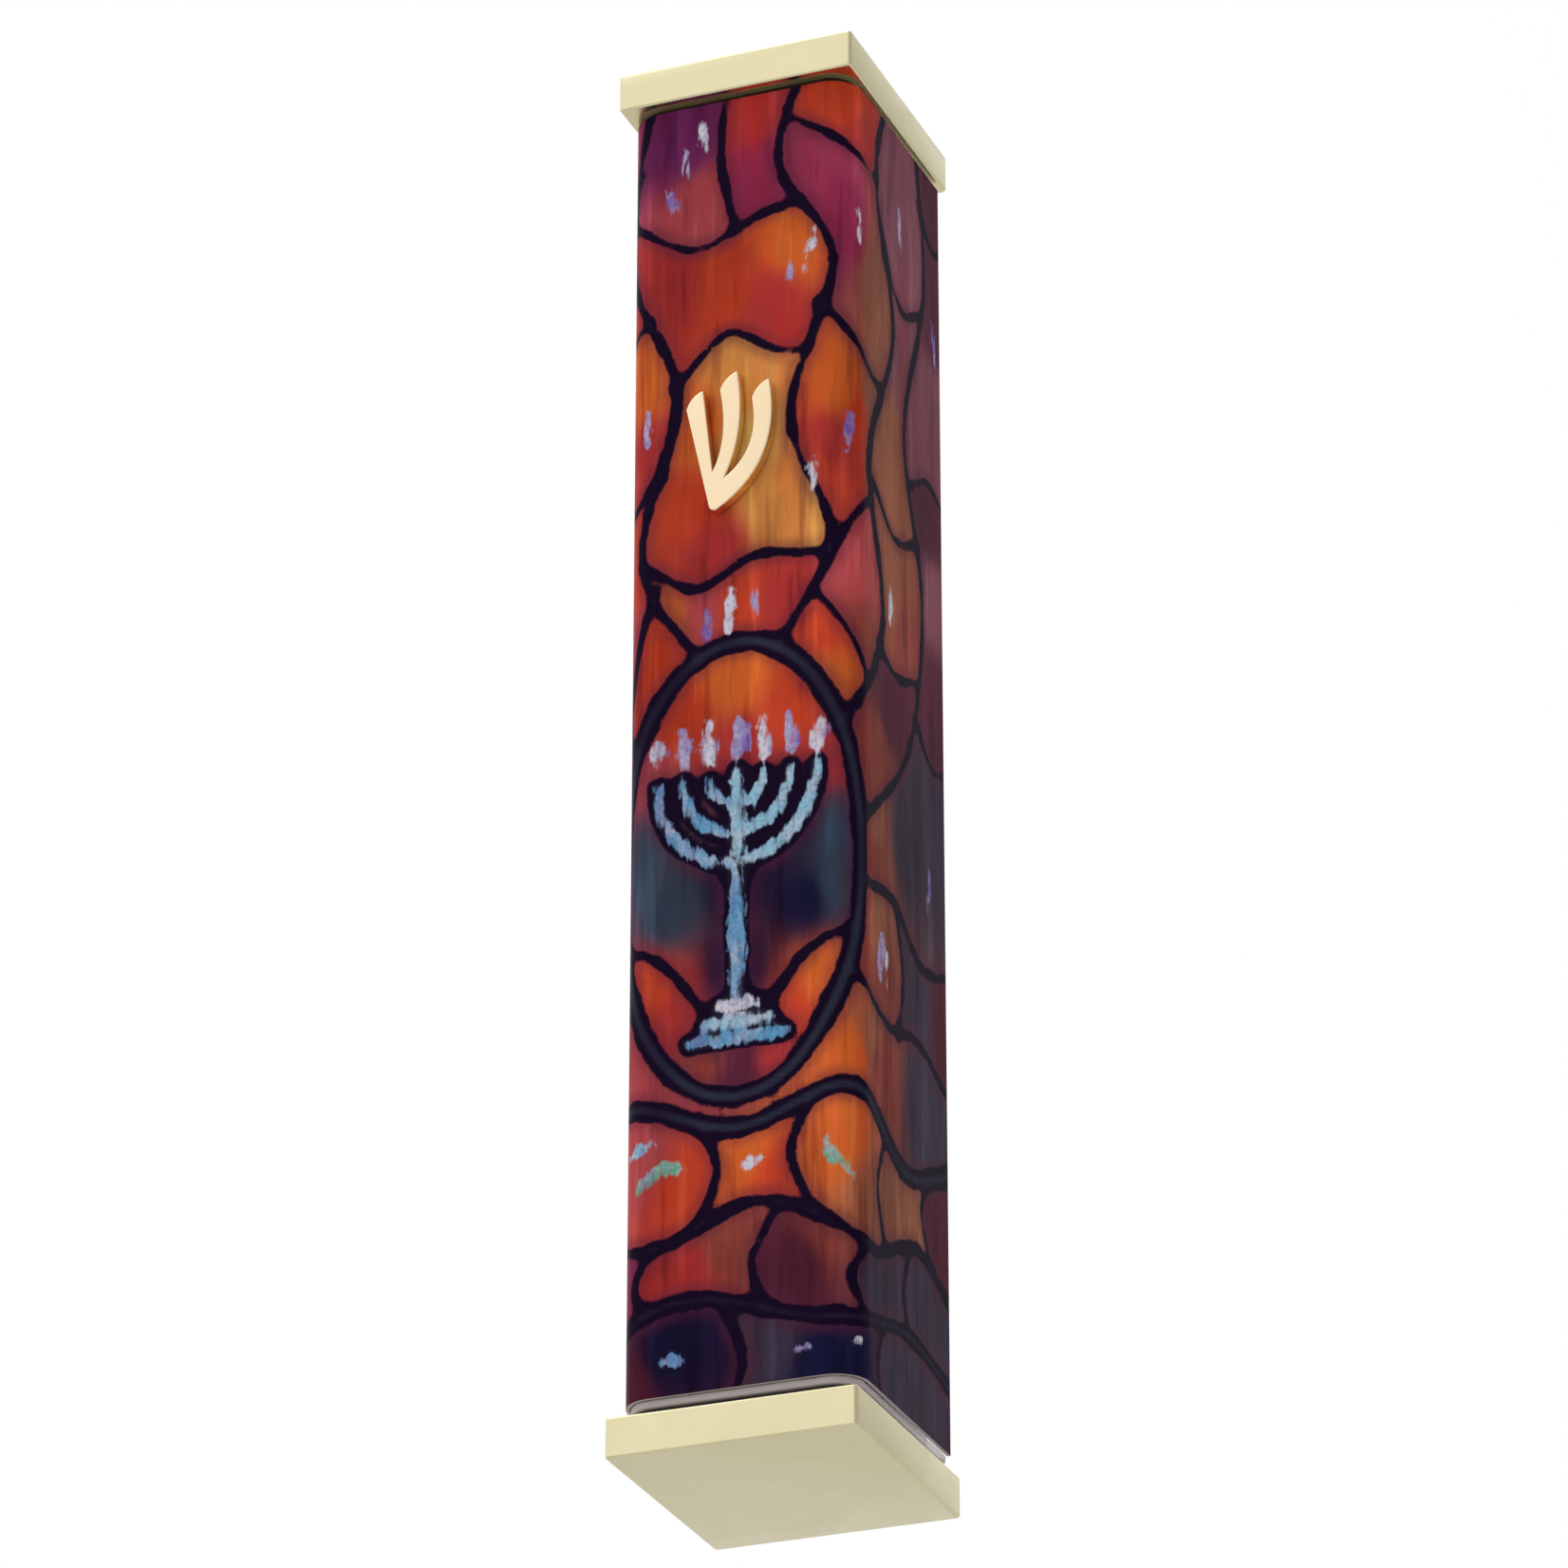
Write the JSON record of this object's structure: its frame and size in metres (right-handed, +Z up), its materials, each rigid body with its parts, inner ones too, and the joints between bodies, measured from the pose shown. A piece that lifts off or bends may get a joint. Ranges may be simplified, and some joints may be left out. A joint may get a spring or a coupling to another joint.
{
  "type": "mezuzah case",
  "caption": "Tall square door-post case with gold caps, raised letter emblem and a stained-glass style film round a clear cover; the bottom cap pulls off to take a rolled scroll.",
  "frame": {"origin": "middle of the wall pad's outer face, where the case meets the door post", "axes": "+Z up along the case, +Y into the wall, -Y out of the front face, +X to the right of someone facing the front"},
  "size_m": [0.021, 0.0238, 0.124],
  "materials": {
    "clear_acrylic": "clear polished acrylic",
    "colour_print": "glossy colour print on film: red, orange, crimson and amber panes with dark lead lines",
    "channel_aluminium": "satin anodised extrusion",
    "back_plastic": "fine matt black moulding",
    "pad_foam": "white closed-cell adhesive foam",
    "cap_gold": "pale polished gold plating with fine brushing",
    "emblem_gold": "bright gold plating",
    "seal_rubber": "matt black rubber",
    "cushion_foam": "grey open-cell foam",
    "nut_steel": "bright spring steel",
    "parchment": "cream parchment with mottled tone",
    "sleeve_plastic": "clear flexible plastic"
  },
  "bodies": {
    "case": {"cover_shell": "clear_acrylic", "print_sheet": "colour_print", "body_channel": "channel_aluminium", "back_plate": "back_plastic", "wall_pad": "pad_foam", "top_cap": "cap_gold", "top_cap_gasket": "seal_rubber", "top_cap_screw_left": "cap_gold", "top_cap_screw_right": "cap_gold", "top_cushion": "cushion_foam", "emblem": "emblem_gold", "emblem_nut_upper": "nut_steel", "emblem_nut_lower": "nut_steel"},
    "bottom_cap": {"bottom_cap": "cap_gold", "bottom_cap_seal": "seal_rubber"},
    "scroll": {"parchment_scroll": "parchment", "scroll_sleeve": "sleeve_plastic", "sleeve_plug_top": "sleeve_plastic", "sleeve_plug_bottom": "sleeve_plastic"}
  },
  "joints": [
    {"name": "bottom_cap_pull", "type": "slide", "parent": "case", "child": "bottom_cap", "axis": [0, 0, -1], "range_m": [0, 0.13]},
    {"name": "scroll_drop", "type": "slide", "parent": "case", "child": "scroll", "axis": [0, 0, -1], "range_m": [0, 0.117]}
  ],
  "couplings": [
    {"joint": "scroll_drop", "follows": "bottom_cap_pull", "ratio": 0.9}
  ]
}
